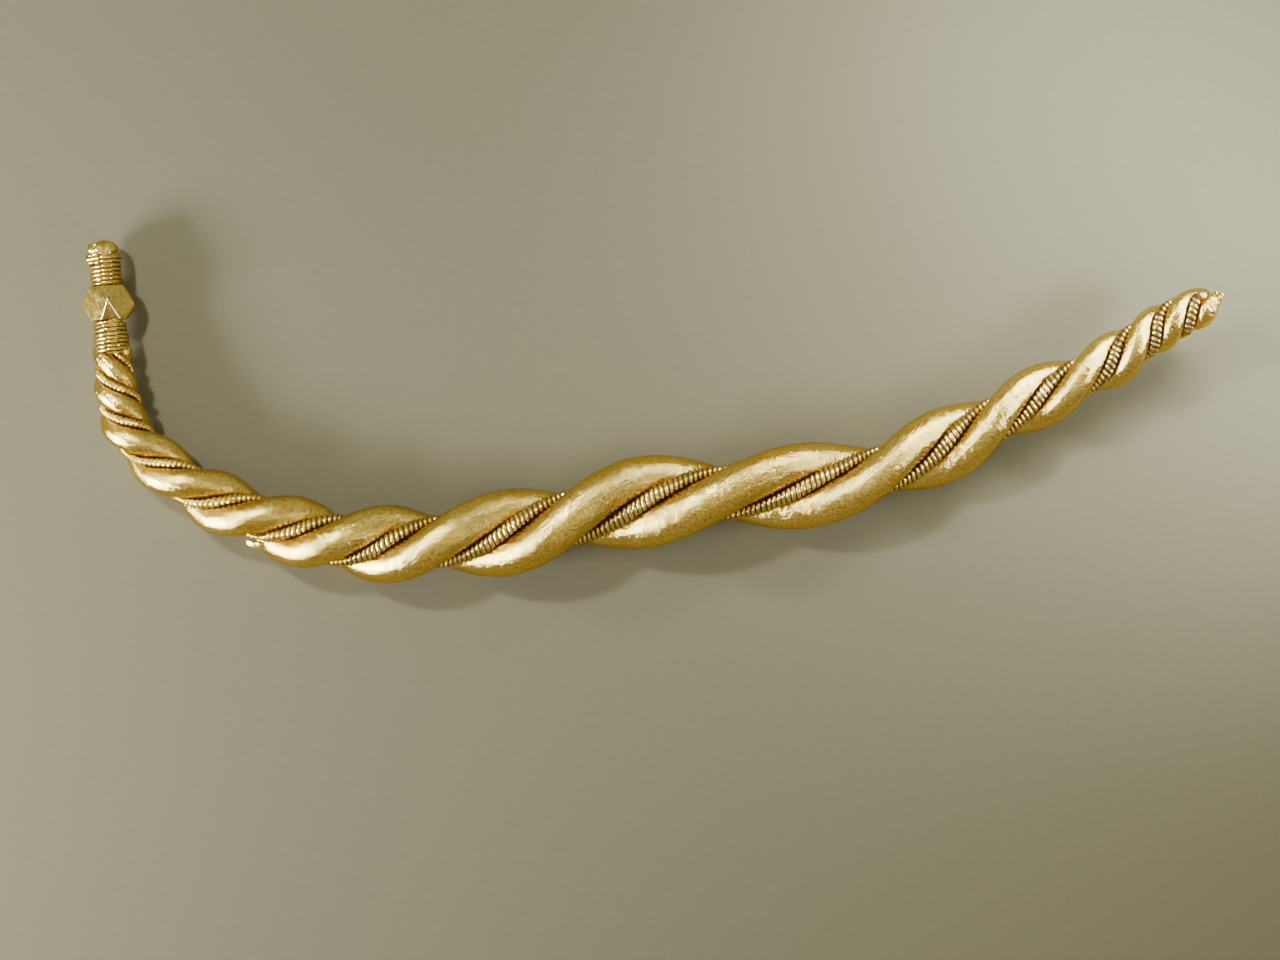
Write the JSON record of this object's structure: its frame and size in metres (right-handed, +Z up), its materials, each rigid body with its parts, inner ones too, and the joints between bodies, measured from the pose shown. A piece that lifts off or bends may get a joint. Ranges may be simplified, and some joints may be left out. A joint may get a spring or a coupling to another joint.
{
  "type": "arm ring",
  "caption": "Opened-out, broken arm ring: twisted tapering rods with beaded wire in their grooves, a faceted knob between wound wire bindings at one end, a rough point at the other.",
  "frame": {"origin": "middle of the bounding box, on the surface that the ring lies on", "axes": "+X along the ring's length, from the terminal towards the broken tip; +Y from the hoop towards its open side; +Z up"},
  "size_m": [0.2091, 0.0628, 0.017],
  "materials": {
    "bright_gold": "smooth gold, polished by wear, with fine scratches and small pits",
    "worn_gold": "gold wire, worn on its ridges and darker in its grooves"
  },
  "bodies": {
    "root": {"rod_a": "bright_gold", "rod_b": "bright_gold", "beaded_wire_a": "worn_gold", "beaded_wire_b": "worn_gold", "terminal_knob": "bright_gold", "binding_inner": "worn_gold", "binding_outer": "worn_gold"}
  },
  "joints": []
}
